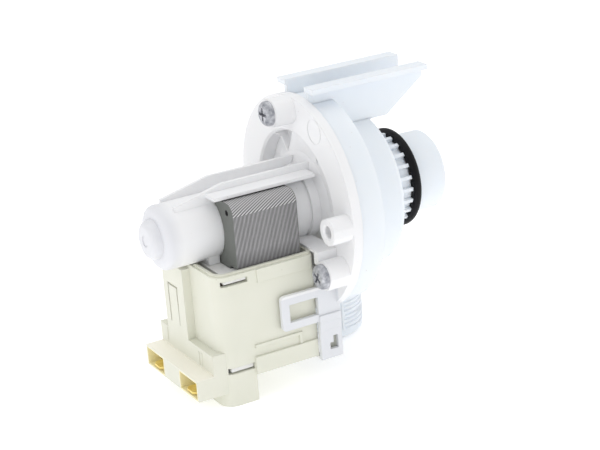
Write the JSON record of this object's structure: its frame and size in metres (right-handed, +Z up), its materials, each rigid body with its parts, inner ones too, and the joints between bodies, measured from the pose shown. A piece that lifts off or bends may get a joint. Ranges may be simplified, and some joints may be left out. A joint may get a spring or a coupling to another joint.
{
  "type": "washer drain pump",
  "caption": "Washing machine drain pump: wet rotor motor with a coil housing, bolted to a volute with an axial inlet, a hanging outlet and slide rails.",
  "frame": {"origin": "under the middle of the pump's box, on the face that the coil housing's foot stands on", "axes": "+X along the motor axis towards the inlet, +Y towards the outlet's side, +Z up"},
  "size_m": [0.1112, 0.076, 0.0997],
  "materials": {
    "white_moulding": "fine moulded satin",
    "cream_moulding": "fine moulded satin",
    "bobbin_plastic": "moulded matte",
    "enamelled_wire": "varnished wire with tape",
    "lamination_steel": "stamped sheets, edges bare",
    "terminal_brass": "stamped brass",
    "zinc_steel": "zinc plated",
    "seal_rubber": "moulded rubber",
    "inner_plastic": "moulded matte",
    "bearing_graphite": "pressed carbon",
    "shaft_steel": "ground",
    "ferrite_magnet": "ground ferrite",
    "washer_plastic": "filled polymer",
    "impeller_plastic": "moulded satin"
  },
  "bodies": {
    "pump_body": {"motor_housing": "white_moulding", "volute_housing": "white_moulding", "mounting_rails": "white_moulding", "inlet_collar": "white_moulding", "outlet_spout": "white_moulding", "coil_housing": "cream_moulding", "coil_bobbin_left": "bobbin_plastic", "coil_bobbin_right": "bobbin_plastic", "coil_winding_left": "enamelled_wire", "coil_winding_right": "enamelled_wire", "stator_core": "lamination_steel", "terminal_left": "terminal_brass", "terminal_right": "terminal_brass", "flange_screws": "zinc_steel", "flange_seal": "seal_rubber", "inlet_o_ring": "seal_rubber", "cover_seal": "seal_rubber", "bearing_cover": "inner_plastic", "front_bearing": "bearing_graphite", "front_bearing_seat": "seal_rubber", "rear_bearing": "bearing_graphite", "rear_bearing_seat": "seal_rubber"},
    "rotor": {"rotor_shaft": "shaft_steel", "rotor_magnet": "ferrite_magnet", "rotor_sleeve": "inner_plastic", "thrust_washers": "washer_plastic", "drive_dog": "washer_plastic"},
    "impeller_wheel": {"impeller": "impeller_plastic", "impeller_cap": "impeller_plastic"}
  },
  "joints": [
    {"name": "rotor_spin", "type": "hinge", "parent": "pump_body", "child": "rotor", "pos_m": [0.0021, 0, 0.0579], "axis": [1, 0, 0], "continuous": true},
    {"name": "impeller_free_play", "type": "hinge", "parent": "rotor", "child": "impeller_wheel", "pos_m": [0.01835, 0, 0.0579], "axis": [1, 0, 0], "range_deg": [-98, 98]}
  ]
}
